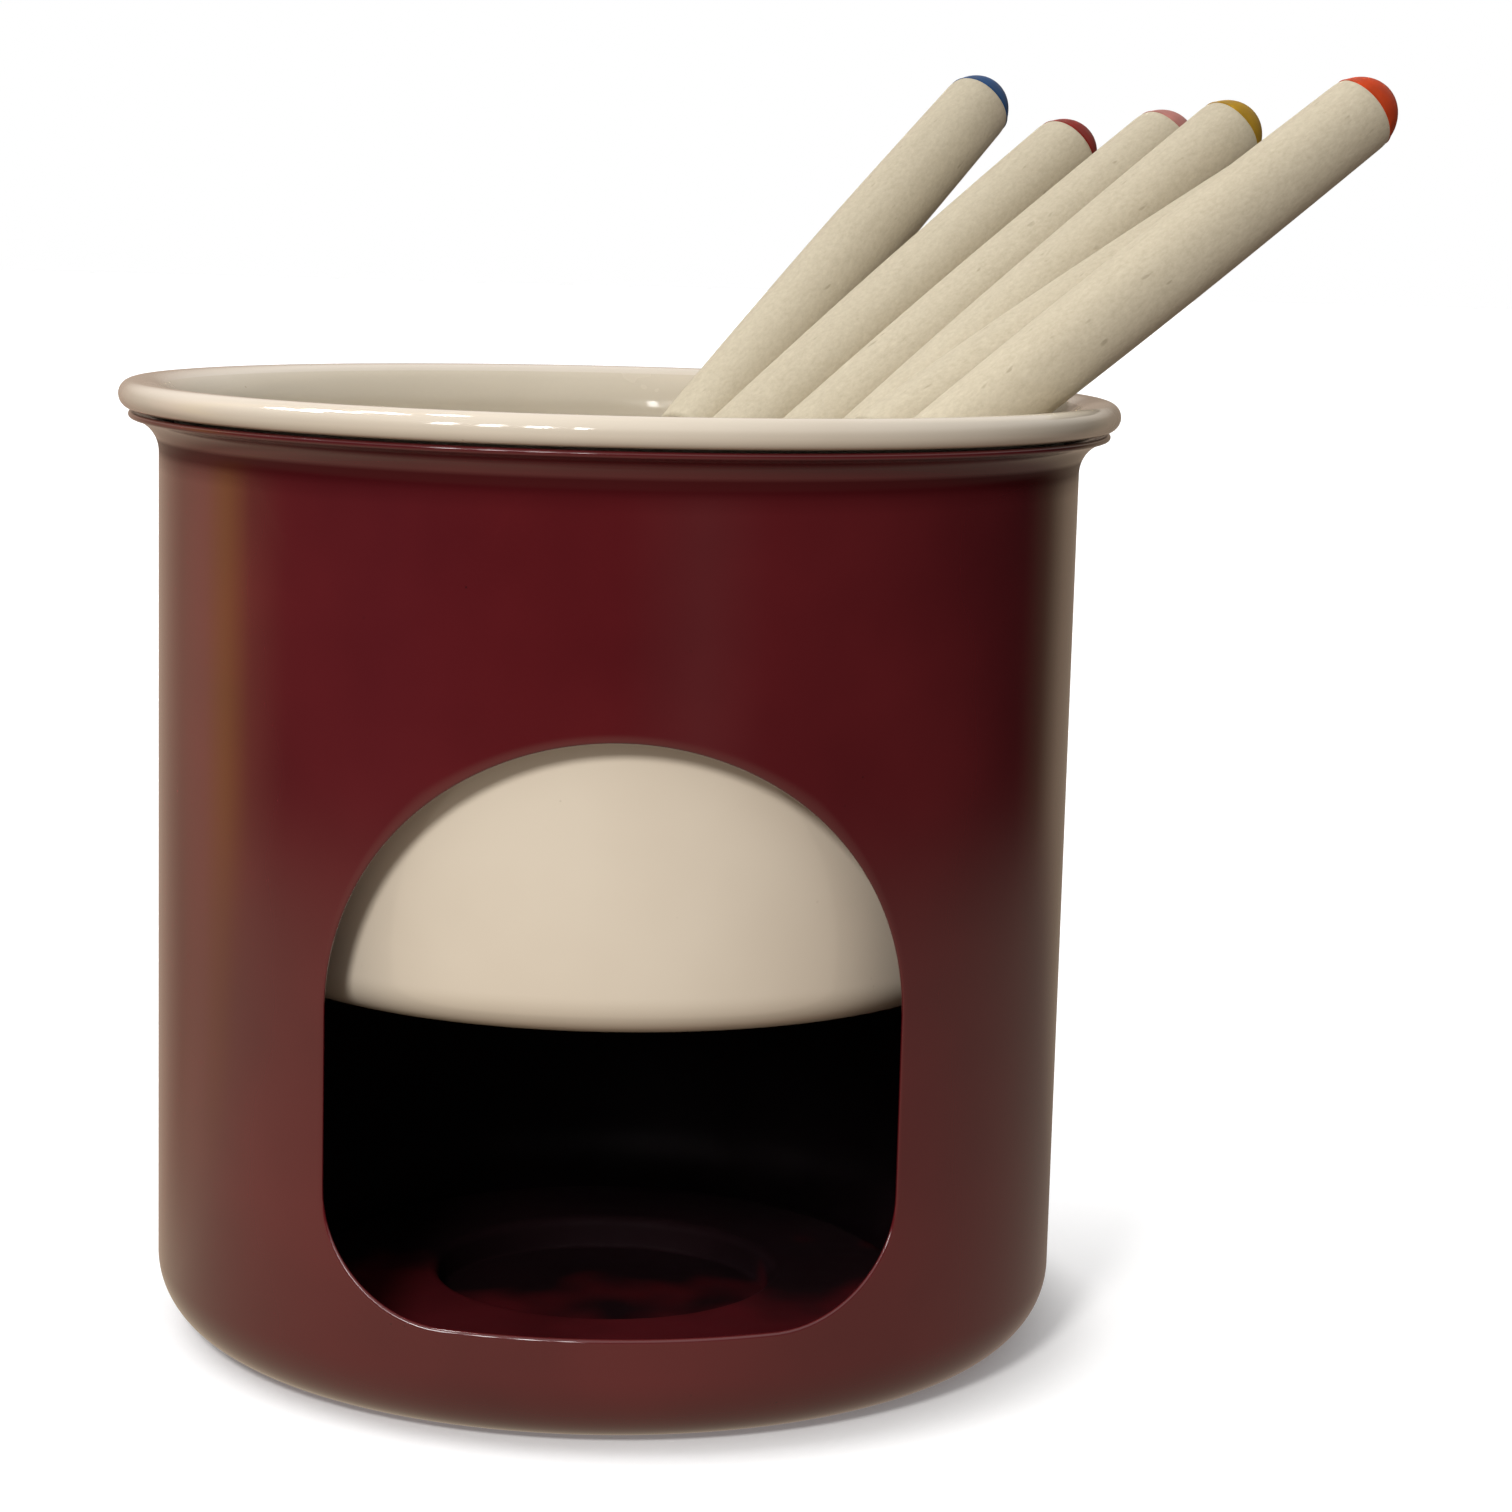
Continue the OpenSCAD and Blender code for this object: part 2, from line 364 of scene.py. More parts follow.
# ------------------------------------------------------------------ the warmer
COLUMNS = 240
low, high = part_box("warmer")
LIP_R = high.x
LIP_TOP = high.z
SHEET = 0.8 * MM
SHELL_R = 57.1 * MM
CORNER_R = 8.7 * MM
PANEL_Z = 5.0 * MM
WELL_R = 21.5 * MM
LIP_ANGLE = math.radians(82)
ARCH_W = 66.2 * MM
ARCH_SILL = 13.8 * MM
ARCH_TOP = 82.1 * MM
ARCH_CORNER = 14.1 * MM
ARCH_MID = 46 * MM


def sheet_path():
    """The middle of the pressed sheet from the axis out to the lip: (r, z, direction)."""
    half = SHEET / 2
    shell = SHELL_R - half
    path = [(0.0, half, -90.0)]

    def bend(centre, radius, start, end, flip, steps):
        for (r, z), i in zip(arc(centre, radius, start, end, steps), range(steps + 1)):
            path.append((r, z, start + (end - start) * i / steps + flip))

    well = WELL_R + half
    well_bend = 0.9 * MM
    panel = PANEL_Z - half
    drop_r, drop, panel_r = 3 * MM, 40.0, 36 * MM
    slope = math.radians(drop)
    run = (panel - half - 2 * drop_r * (1 - math.cos(slope))) / math.tan(slope)
    foot_r = panel_r + 2 * drop_r * math.sin(slope) + run
    corner = CORNER_R - half
    lip_bend = (LIP_R - shell - half * math.cos(LIP_ANGLE)) / (1 - math.cos(LIP_ANGLE))
    lip_z = LIP_TOP - (lip_bend + half) * math.sin(LIP_ANGLE)
    for r in (4, 8, 12, 16):
        path.append((r * MM, half, -90.0))
    bend((well - well_bend, half + well_bend), well_bend, -90, 0, 0, 8)
    bend((well + well_bend, panel - well_bend), well_bend, 180, 90, 180, 8)
    for r in (26, 29, 32, 34):
        path.append((r * MM, panel, -90.0))
    bend((panel_r, panel - drop_r), drop_r, 90, 90 - drop, 180, 8)
    bend((foot_r, half + drop_r), drop_r, 270 - drop, 270, 0, 8)
    bend((shell - corner, half + corner), corner, -90, 0, 0, 20)
    wall_start = len(path) - 1
    wall_top = lip_z
    # the bend stops short of the CAD's edge by the half circle that rounds it
    turned = math.degrees(LIP_ANGLE - 0.34 * MM / lip_bend)
    bend((shell + lip_bend, lip_z), lip_bend, 180, 180 - turned, 180, 14)
    return path, wall_start, wall_top


def arch_hit(angle):
    """Distance from the arch's middle to its outline along a direction, by bisection."""
    near, far = 1 * MM, 80 * MM
    for _ in range(48):
        d = (near + far) / 2
        if in_arch(d * math.cos(angle), ARCH_MID + d * math.sin(angle)):
            near = d
        else:
            far = d
    return near * math.cos(angle), ARCH_MID + near * math.sin(angle)


def in_arch(x, z):
    half = ARCH_W / 2
    spring = ARCH_TOP - half
    x = abs(x)
    if z >= spring:
        return math.hypot(x, z - spring) < half
    if z < ARCH_SILL or x > half:
        return False
    corner_x, corner_z = half - ARCH_CORNER, ARCH_SILL + ARCH_CORNER
    if z < corner_z and x > corner_x:
        return math.hypot(x - corner_x, z - corner_z) < ARCH_CORNER
    return True


def build_warmer(mat, inner_shaded_mat):
    path, wall_start, wall_top = sheet_path()
    half = SHEET / 2
    spread_cols = 32
    rows = 52
    wall_low = path[wall_start][1]
    wall_r = path[wall_start][0]
    verts, faces = [], []

    def point(r, a, z):
        verts.append((r * math.sin(a), -r * math.cos(a), z))
        return len(verts) - 1

    angles = [2 * math.pi * j / COLUMNS for j in range(COLUMNS)]
    for j in range(COLUMNS):
        if angles[j] > math.pi:
            angles[j] -= 2 * math.pi
    opening = set(list(range(spread_cols)) + list(range(COLUMNS - spread_cols, COLUMNS)))
    levels = [wall_low + (wall_top - wall_low) * i / rows for i in range(rows + 1)]
    edge_rings, tops = {}, {}
    for side in (1, -1):
        rings = []
        for r, z, turn in path[: wall_start + 1]:
            t = math.radians(turn)
            rr, zz = r + side * half * math.cos(t), z + side * half * math.sin(t)
            if rr < 1e-6:
                rings.append([point(0.0, 0.0, zz)] * COLUMNS)
            else:
                rings.append([point(rr, a, zz) for a in angles])
        wall = [rings[-1]]
        for z in levels[1:]:
            wall.append([point(wall_r + side * half, a, z) for a in angles])
        rings = rings + wall[1:]
        lip = []
        for r, z, turn in path[wall_start + 2 :]:
            t = math.radians(turn)
            rr, zz = r + side * half * math.cos(t), z + side * half * math.sin(t)
            lip.append([point(rr, a, zz) for a in angles])
        rings = rings + lip
        tops[side] = rings[-1]
        for i in range(len(rings) - 1):
            in_wall = wall_start <= i < wall_start + rows
            for j in range(COLUMNS):
                k = (j + 1) % COLUMNS
                if in_wall and j in opening:
                    continue
                quad = [rings[i][j], rings[i][k], rings[i + 1][k], rings[i + 1][j]]
                quad = [q for n, q in enumerate(quad) if q != quad[n - 1]]
                faces.append(tuple(quad if side == 1 else quad[::-1]))
        # the wall round the arch: from the cut edge out to the rectangle of the wall grid
        cols = [COLUMNS - spread_cols + n for n in range(spread_cols)] + list(range(spread_cols + 1))
        loop = [wall[0][c % COLUMNS] for c in cols]
        loop += [wall[i][cols[-1] % COLUMNS] for i in range(1, rows + 1)]
        loop += [wall[rows][c % COLUMNS] for c in reversed(cols[:-1])]
        loop += [wall[i][cols[0] % COLUMNS] for i in range(rows - 1, 0, -1)]
        radius = wall_r + side * half
        cut, normals = [], []
        for v in loop:
            x, y, z = verts[v]
            a = math.atan2(x, -y)
            cut.append(arch_hit(math.atan2(z - ARCH_MID, radius * a)))
        n_loop = len(loop)
        for n in range(n_loop):
            x0, z0 = cut[n - 1]
            x1, z1 = cut[(n + 1) % n_loop]
            d = math.hypot(x1 - x0, z1 - z0)
            normals.append(((z1 - z0) / d, -(x1 - x0) / d))
        edge_rings[side] = (loop, cut, normals, radius)
    # the enamel rounds the cut edge: a half circle across the sheet, widest out of the opening
    loop, cut, normals, radius = edge_rings[1]
    n_loop = len(loop)
    bends = 8
    edge = []
    for b in range(bends + 1):
        phi = math.pi * b / bends
        r = wall_r + half * math.cos(phi)
        out = half * (1 - math.sin(phi))
        ring = []
        for (x, z), (nx, nz) in zip(cut, normals):
            xx, zz = x + nx * out, z + nz * out
            ring.append(point(r, math.asin(max(-1.0, min(1.0, xx / r))), zz))
        edge.append(ring)
    for b in range(bends):
        for n in range(n_loop):
            m = (n + 1) % n_loop
            faces.append((edge[b][n], edge[b][m], edge[b + 1][m], edge[b + 1][n]))
    steps = 12
    for side, start in ((1, edge[0]), (-1, edge[bends])):
        loop, _, _, radius = edge_rings[side]
        previous = start
        for s in range(1, steps + 1):
            t = s / steps
            t = t * (0.35 + 0.65 * t)
            if s == steps:
                ring = loop
            else:
                ring = []
                for a_v, b_v in zip(start, loop):
                    xa, ya, za = verts[a_v]
                    xb, yb, zb = verts[b_v]
                    aa, ab = math.atan2(xa, -ya), math.atan2(xb, -yb)
                    ring.append(point(radius, aa + (ab - aa) * t, za + (zb - za) * t))
            for n in range(n_loop):
                m = (n + 1) % n_loop
                faces.append((previous[n], previous[m], ring[m], ring[n]))
            previous = ring
    # the lip's rounded rim joins the two faces
    r, z, turn = path[-1]
    rim = [tops[1]]
    for b in range(1, 8):
        t = math.radians(turn) + math.pi * b / 8
        rim.append([point(r + half * math.cos(t), a, z + half * math.sin(t)) for a in angles])
    rim.append(tops[-1])
    for lower, upper in zip(rim, rim[1:]):
        for j in range(COLUMNS):
            k = (j + 1) % COLUMNS
            faces.append((lower[j], lower[k], upper[k], upper[j]))
    obj = mesh_object("warmer_shell", verts, faces, mat)
    obj.data.materials.append(inner_shaded_mat)
    # the inside faces take the inner coat, which carries a painted shade deeper in
    for face in obj.data.polygons:
        x, y, z = face.center
        if z > CORNER_R:
            facing = -(face.normal.x * x + face.normal.y * y) / math.hypot(x, y)
            inside = facing > 0.8 and z < LIP_TOP - 5 * MM
        else:
            inside = face.normal.dot(Vector((-x / 2, -y / 2, 60 * MM - z))) > 0
        face.material_index = 1 if inside else 0
    return obj


# --------------------------------------------------------------------- the pot
POT_T = 1.2 * MM
POT_BASE_R = 50 * MM
POT_CORNER_R = 5.6 * MM
FLARE_R = 5.5 * MM
BEAD_R = 1.75 * MM


def build_pot(mat, inner_shaded_mat, rim_shaded_mat):
    low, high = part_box("pot")
    half = POT_T / 2
    corner = (POT_BASE_R - POT_CORNER_R, low.z + POT_CORNER_R)
    bead = (high.x - BEAD_R, high.z - BEAD_R)
    flare = (bead[0], high.z - half - FLARE_R)
    run = math.hypot(flare[0] - corner[0], flare[1] - corner[1])
    tilt = math.atan2(flare[0] - corner[0], flare[1] - corner[1])
    lean = math.degrees(tilt - math.asin((POT_CORNER_R - half + FLARE_R) / run))

    def wall(centre_a, centre_b, radius_a, radius_b):
        """Rows up the straight wall between the corner and the flare."""
        a = math.radians(-lean)
        b = math.radians(180 - lean)
        start = (centre_a[0] + radius_a * math.cos(a), centre_a[1] + radius_a * math.sin(a))
        end = (centre_b[0] + radius_b * math.cos(b), centre_b[1] + radius_b * math.sin(b))
        return [
            (start[0] + (end[0] - start[0]) * i / 16, start[1] + (end[1] - start[1]) * i / 16)
            for i in range(1, 16)
        ]

    inner_corner = POT_CORNER_R - POT_T
    under = FLARE_R - half
    floor_z = low.z + POT_T
    outline = [(0.0, floor_z)] + [(r * MM, floor_z) for r in (6, 14, 22, 30, 38)]
    outline += arc(corner, inner_corner, -90, -lean, 12)
    outline += wall(corner, flare, inner_corner, FLARE_R + half)
    outline += arc(flare, FLARE_R + half, 180 - lean, 90, 14)
    # the rolled bead turns over and back in under the flare
    gap = bead[1] - flare[1]
    meet_y = (under**2 - BEAD_R**2 + gap**2) / (2 * gap)
    meet = math.degrees(math.acos(meet_y / under))
    tuck = math.degrees(math.atan2(meet_y - gap, -under * math.sin(math.radians(meet))))
    outline += arc(bead, BEAD_R, 90, tuck - (360 if tuck > 90 else 0), 24)[1:]
    outline += arc(flare, under, 90 + meet, 180 - lean, 10)[1:]
    outline += wall(corner, flare, POT_CORNER_R, under)[::-1]
    outline += arc(corner, POT_CORNER_R, -lean, -90, 12)
    outline += [(r * MM, low.z) for r in (38, 30, 22, 14, 6)] + [(0.0, low.z)]
    verts, faces = lathe(outline, COLUMNS)
    obj = mesh_object("pot_vessel", verts, faces, mat, sharp=50.0)
    obj.data.materials.append(inner_shaded_mat)
    obj.data.materials.append(rim_shaded_mat)
    heart = Vector((0.0, 0.0, (low.z + high.z) / 2))
    # the inside takes the darker painted-shade copy of the cream, the bead the darker rim copy
    for face in obj.data.polygons:
        if face.normal.dot(heart - face.center) > 0 and face.center.z < high.z - 1 * MM:
            face.material_index = 1
        elif face.center.z > high.z - 2 * BEAD_R:
            face.material_index = 2
    return obj


# ------------------------------------------------------------------- the forks
# Heights are measured along the fork: of the handle from its neck, of the head from the tine points
FAT_Z = 42 * MM
FAT_R = 5.4 * MM
NECK_R = 4.85 * MM
END_R = 5.1 * MM
DOME_H = 6 * MM
COAT = 0.12 * MM
BORE_R = 1.25 * MM
BORE_H = 30 * MM
ROD_R = 1.2 * MM
HEAD_W = 3 * MM
HEAD_T = 0.7 * MM
CROTCH_Z = 20 * MM
CROTCH_R = 1.7 * MM
SHOULDER_Z = 22 * MM
SHOULDER_TOP = 28 * MM


def fork_frame(name):
    """Matrix whose Z runs along the fork from its tine points; lengths of the pieces along it."""
    joint = next(j for j in frame["joints"] if j["name"] == name + "_fork_pull")
    d = Vector(joint["axis"]).normalized()
    across = Vector((d.y, -d.x, 0)).normalized()
    other = d.cross(across)
    points = [v.co for v in frame["nodes"][name + "_handle"].data.vertices]
    middle = []
    for axis in (across, other):
        values = [p.dot(axis) for p in points]
        middle.append((min(values) + max(values)) / 2)
    ends = {}
    for part in ("steel", "handle", "tip"):
        along = [v.co.dot(d) for v in frame["nodes"][name + "_" + part].data.vertices]
        ends[part] = (min(along), max(along))
    start = ends["steel"][0]
    origin = across * middle[0] + other * middle[1] + d * start
    matrix = Matrix((across, other, d)).transposed().to_4x4()
    matrix.translation = origin
    lengths = {part: (a - start, b - start) for part, (a, b) in ends.items()}
    return matrix, lengths


def handle_radius(z, length):
    """Radius of the handle at a height: it swells, tapers, and rounds over at the end."""
    round_z = length - DOME_H
    if z < FAT_Z:
        return NECK_R + (FAT_R - NECK_R) * math.sin(math.pi / 2 * z / FAT_Z)
    if z < round_z:
        return END_R + (FAT_R - END_R) * math.cos(math.pi / 2 * (z - FAT_Z) / (round_z - FAT_Z))
    return END_R * math.sqrt(max(0.0, 1 - ((z - round_z) / DOME_H) ** 2))


def dome_heights(length, start, steps):
    """Heights up the rounded end, evenly spaced round its curve, from a height to the apex."""
    round_z = length - DOME_H
    first = math.asin((start - round_z) / DOME_H)
    return [
        round_z + DOME_H * math.sin(first + (math.pi / 2 - first) * i / steps) for i in range(steps + 1)
    ]


def waver(seeds, angle, z):
    """A slow unevenness round and along a turned and sanded handle, between -1 and 1."""
    return (
        math.sin(2 * angle + seeds[0] + 60 * z)
        + 0.7 * math.sin(3 * angle + seeds[1] - 110 * z)
        + 0.6 * math.sin(angle + seeds[2] + 190 * z)
    ) / 2.3


def build_wood(name, matrix, start, paint_z, length, mat, seeds):
    """The wooden handle: bored for the rod, its neck rounded, its end running on under the paint."""
    edge = 0.7 * MM
    columns = 72
    mouth = 0.25 * MM
    outline = [(0.0, BORE_H), (BORE_R, BORE_H), (BORE_R, 12 * MM), (BORE_R, mouth), (BORE_R + mouth, 0.0)]
    outline += [(r * MM, 0.0) for r in (2.2, 3.0, 3.8)]
    neck = handle_radius(edge, length)
    outline += arc((neck - edge, edge), edge, -90, 0, 6)
    round_z = length - DOME_H
    rows = 40
    outline += [(handle_radius(z, length), z) for z in
                (edge + (round_z - edge) * i / rows for i in range(1, rows + 1))]
    outline += [(handle_radius(z, length), z) for z in
                (round_z + (paint_z - round_z) * i / 5 for i in range(1, 6))]
    for z in dome_heights(length, paint_z + 0.15 * MM, 10):
        r = handle_radius(z, length)
        outline.append((max(0.0, r - COAT) if z < length - 1e-6 else 0.0, z - COAT * (z - round_z) / DOME_H))
    verts, faces = lathe(outline, columns)
    shaped = []
    for x, y, z in verts:
        r = math.hypot(x, y)
        if r > 3.9 * MM and z > 0:
            grow = 1 + 0.035 * MM / r * waver(seeds, math.atan2(x, -y), z)
            x, y = x * grow, y * grow
        shaped.append((x, y, z + start))
    return mesh_object(name + "_wood", shaped, faces, mat, matrix)


def build_dip(name, matrix, start, paint_z, length, mat, seeds):
    """The dipped paint: a thin coat over the wood's end with a rounded, slightly wandering edge."""
    columns = 72
    heights = dome_heights(length, paint_z, 14)
    outer = [(handle_radius(z, length), z) for z in heights[1:]]
    inner = []
    for r, z in outer[::-1]:
        inner.append((max(0.0, r - COAT * 0.8), z - COAT * 0.8 * (z - length + DOME_H) / DOME_H))
    inner[0] = (0.0, inner[0][1])
    outer[-1] = (0.0, outer[-1][1])
    r = handle_radius(paint_z, length)
    lip = [(r - COAT * 0.8, paint_z + 0.1 * MM), (r - 0.01 * MM, paint_z - 0.06 * MM),
           (r + 0.05 * MM, paint_z - 0.02 * MM), (r + 0.07 * MM, paint_z + 0.12 * MM)]
    verts, faces = lathe(inner + lip + outer, columns)
    shaped = []
    for x, y, z in verts:
        hang = max(0.0, 1 - (z - paint_z) / (1.6 * MM))
        z -= 0.16 * MM * hang * waver(seeds[::-1], math.atan2(x, -y), 0.0)
        shaped.append((x, y, z + start))
    return mesh_object(name + "_dip", shaped, faces, mat, matrix)


def corner_arc(x, y, radius, start, steps=5):
    """A rounded corner of the head's section in (x, y)."""
    return [
        (x + radius * math.cos(math.radians(start - 90 * i / steps)),
         y + radius * math.sin(math.radians(start - 90 * i / steps)))
        for i in range(steps + 1)
    ]


def tine_edges(z):
    """Inner and outer edge of a tine near its point, with the small barb inside."""
    outer = HEAD_W - 0.52 * MM * max(0.0, 1 - z / (2.4 * MM))
    stations = ((0.0, 2.48), (3.0, 1.7), (4.4, 1.2), (4.6, 1.7), (CROTCH_Z / MM, 1.7))
    for (z0, x0), (z1, x1) in zip(stations, stations[1:]):
        if z <= z1 * MM + 1e-9:
            return (x0 + (x1 - x0) * (z / MM - z0) / (z1 - z0)) * MM, outer
    return math.sqrt(max(0.0, CROTCH_R**2 - (z - CROTCH_Z) ** 2)), outer


def build_steel(name, matrix, rod_top, mat):
    """The steel: a round rod that flattens to a forged head with two barbed tines."""
    crotch_top = CROTCH_Z + CROTCH_R
    # the head and the rod above the crotch: one side of the section, from its top to its bottom
    solid = []
    blend = [i / 10 for i in range(11)]
    stations = [(crotch_top, 0.0)] + [(SHOULDER_Z + (SHOULDER_TOP - SHOULDER_Z) * t, t) for t in blend]
    stations += [(z, 1.0) for z in (40 * MM, 60 * MM, 80 * MM, rod_top - 0.3 * MM)]
    for z, t in stations:
        ease = (1 - math.cos(math.pi * t)) / 2
        wide = HEAD_W + (ROD_R - HEAD_W) * ease
        thick = HEAD_T + (ROD_R - HEAD_T) * ease
        corner = 0.42 * MM + (ROD_R - 0.42 * MM) * ease
        side = [(0.0, thick), ((wide - corner) / 2, thick)]
        side += corner_arc(wide - corner, thick - corner, corner, 90)
        side += corner_arc(wide - corner, -thick + corner, corner, 0)
        side += [((wide - corner) / 2, -thick), (0.0, -thick)]
        solid.append([(x, y, z) for x, y in side])
    solid.append([(x * 0.7, y * 0.7, rod_top) for x, y, _ in solid[-1]])
    # each tine below it: the same side of the section, then back up its inner side
    drops = [0.01, 0.1, 0.3, 0.6, 1.0, 1.35]
    levels = [crotch_top - d * MM for d in drops]
    levels += [z * MM for z in (20, 17, 14, 11, 8, 6, 4.8, 4.6, 4.4, 4.0, 3.5, 3.0)]
    levels += [z * MM for z in (2.4, 1.8, 1.2, 0.7, 0.3, 0.0)]
    tine = []
    for z in [crotch_top] + levels:
        inside, outside = tine_edges(z)
        taper = min(1.0, 0.16 + 0.84 * z / (3.4 * MM))
        thick = HEAD_T * taper
        most = min((outside - inside) / 2, thick) * 0.98
        corner = min(0.42 * MM, most)
        inner = min(0.42 * MM, most, (crotch_top - z) * 0.8)
        middle = (inside + inner + outside - corner) / 2
        loop = [(inside + inner, thick), (middle, thick)]
        loop += corner_arc(outside - corner, thick - corner, corner, 90)
        loop += corner_arc(outside - corner, -thick + corner, corner, 0)
        loop += [(middle, -thick), (inside + inner, -thick)]
        loop += corner_arc(inside + inner, -thick + inner, inner, 270)[1:]
        loop += corner_arc(inside + inner, thick - inner, inner, 180)[:-1]
        tine.append([(x, y, z) for x, y in loop])
    verts, faces = [], []

    def skin(rings, mirror, wrap):
        base = len(verts)
        count = len(rings[0])
        for ring in rings:
            verts.extend((x * mirror, y, z) for x, y, z in ring)
        for i in range(len(rings) - 1):
            for j in range(count if wrap else count - 1):
                k = (j + 1) % count
                quad = (base + i * count + j, base + i * count + k,
                        base + (i + 1) * count + k, base + (i + 1) * count + j)
                faces.append(quad if mirror > 0 else quad[::-1])
        return base + (len(rings) - 1) * count, count

    for mirror in (1, -1):
        top, count = skin(solid, mirror, False)
        verts.append((0.0, 0.0, rod_top))
        centre = len(verts) - 1
        faces.extend((top + j, top + j + 1, centre) for j in range(count - 1))
        low_ring, count = skin(tine, mirror, True)
        faces.append(tuple(range(low_ring, low_ring + count)))
    return mesh_object(name + "_fork", verts, faces, mat, matrix)


def build_fork(name):
    matrix, lengths = fork_frame(name)
    start, paint_z = lengths["handle"]
    length = lengths["tip"][1] - start
    seeds = [random.uniform(0, 2 * math.pi) for _ in range(3)]
    grain = wood("wood_" + name, random.uniform(0, 1))
    body = name + "_fork"
    pieces = (
        (build_wood(name, matrix, start, paint_z - start, length, grain, seeds), "bare_wood", "_handle"),
        (build_dip(name, matrix, start, paint_z - start, length, paint("paint_" + name, PAINTS[name]), seeds),
         name + "_paint", "_tip"),
        (build_steel(name, matrix, lengths["steel"][1], fork_steel), "fork_steel", "_steel"),
    )
    for obj, slot, node in pieces:
        finish_piece(obj, body, name + node)


# ------------------------------------------------------------------ materials in use
# Distance below the top of the lip in mm, and how strongly the painted shade under the lip dulls and darkens
# the enamel there
LIP_SHADE = ((7.2, 0.0), (5.6, 0.4), (4.7, 0.9), (3.5, 0.9), (3.0, 0.2), (0.0, 0.2))
red_enamel = enamel(
    "red_enamel", (0.076, 0.0060, 0.0084), (0.102, 0.0090, 0.0115), 0.17, (0.03, 0.004, 0.005),
    [(LIP_TOP - z * MM, amount) for z, amount in LIP_SHADE],
)
red_inside_shaded = ground_coat("red_inside_shaded", (0.084, 0.0085, 0.0115), -0.013, 0.006)
cream_enamel = enamel("cream_enamel", (0.68, 0.594, 0.480), (0.73, 0.648, 0.530), 0.18, (0.36, 0.28, 0.18))
# a darker copy of the cream for the rolled rim: painted shade over the bead, with a smoother gloss for crisp
# glints
cream_rim_shaded = enamel("cream_rim_shaded", (0.57, 0.498, 0.405), (0.61, 0.540, 0.445), 0.09, (0.32, 0.25, 0.16))
# a darker copy of the cream for the inside of the pot: painted shade, since the enamel is the same inside and
# out
cream_inside_shaded = enamel("cream_inside_shaded", (0.505, 0.437, 0.333), (0.545, 0.478, 0.370), 0.22, (0.30, 0.23, 0.15))
WOOD_DARK = (0.475, 0.413, 0.302)
WOOD_MID = (0.53, 0.465, 0.345)
WOOD_LIGHT = (0.58, 0.515, 0.390)
fork_steel = steel("fork_steel")
PAINTS = {
    "blue": (0.013, 0.056, 0.155),
    "red": (0.20, 0.014, 0.009),
    "pink": (0.42, 0.17, 0.145),
    "yellow": (0.36, 0.20, 0.007),
    "green": (0.035, 0.13, 0.048),
    "orange": (0.47, 0.043, 0.005),
}

finish_piece(build_warmer(red_enamel, red_inside_shaded), "warmer", "warmer")
finish_piece(build_pot(cream_enamel, cream_inside_shaded, cream_rim_shaded), "pot", "pot")
for name in FORKS:
    build_fork(name)


# ---------------------------------------------------------------- floor, lights
# The floor is lifted evenly by its glow, except in a painted contact shadow: a narrow ring round the foot
# where the glow is lower
GLOW_IN_PAINTED_SHADOW, GLOW_FAR = 0.15, 0.50
GLOW_FROM, GLOW_TO = 55 * MM, 68 * MM
floor_mat, floor_tree, floor_add = material("floor")
floor_bsdf = shader(floor_tree, floor_add, Roughness=0.8, Specular_IOR_Level=0.2, Emission_Strength=1.0)
floor_coords = floor_add("TexCoord")
floor_length = floor_add("VectorMath")
floor_length.operation = "LENGTH"
link(floor_tree, floor_coords, "Object", floor_length, 0)
floor_glow = spread(floor_tree, floor_add, floor_length, "Value", GLOW_IN_PAINTED_SHADOW, GLOW_FAR, GLOW_FROM, GLOW_TO)
floor_glow.interpolation_type = "SMOOTHSTEP"
link(floor_tree, floor_glow, "Result", floor_bsdf, "Emission Color")
floor_noise = noise(floor_tree, floor_add, floor_coords, 30.0, 4.0)
floor_tone = ramp(floor_add, [(0.3, (0.86, 0.86, 0.86)), (0.7, (0.88, 0.88, 0.88))])
link(floor_tree, floor_noise, "Fac", floor_tone, "Fac")
link(floor_tree, floor_tone, "Color", floor_bsdf, "Base Color")
FLOOR_HALF, FLOOR_Z = 6.0, -0.0002
floor = mesh_object(
    "floor",
    [(x * FLOOR_HALF, y * FLOOR_HALF, FLOOR_Z) for x, y in ((-1, -1), (1, -1), (1, 1), (-1, 1))],
    [(0, 1, 2, 3)],
    floor_mat,
)
floor.visible_glossy = False
floor.visible_diffuse = False

world = bpy.data.worlds.new("studio")
bpy.context.scene.world = world
world.use_nodes = True
wt = world.node_tree
wt.nodes.clear()


def world_node(kind, **values):
    node = wt.nodes.new("ShaderNode" + kind)
    for key, value in values.items():
        setattr(node, key, value)
    return node


def world_math(operation, a, b=None):
    node = world_node("Math", operation=operation)
    for i, value in enumerate((a, b)):
        if value is None:
            continue
        if isinstance(value, (int, float)):
            node.inputs[i].default_value = value
        else:
            wt.links.new(value, node.inputs[i])
    return node.outputs[0]


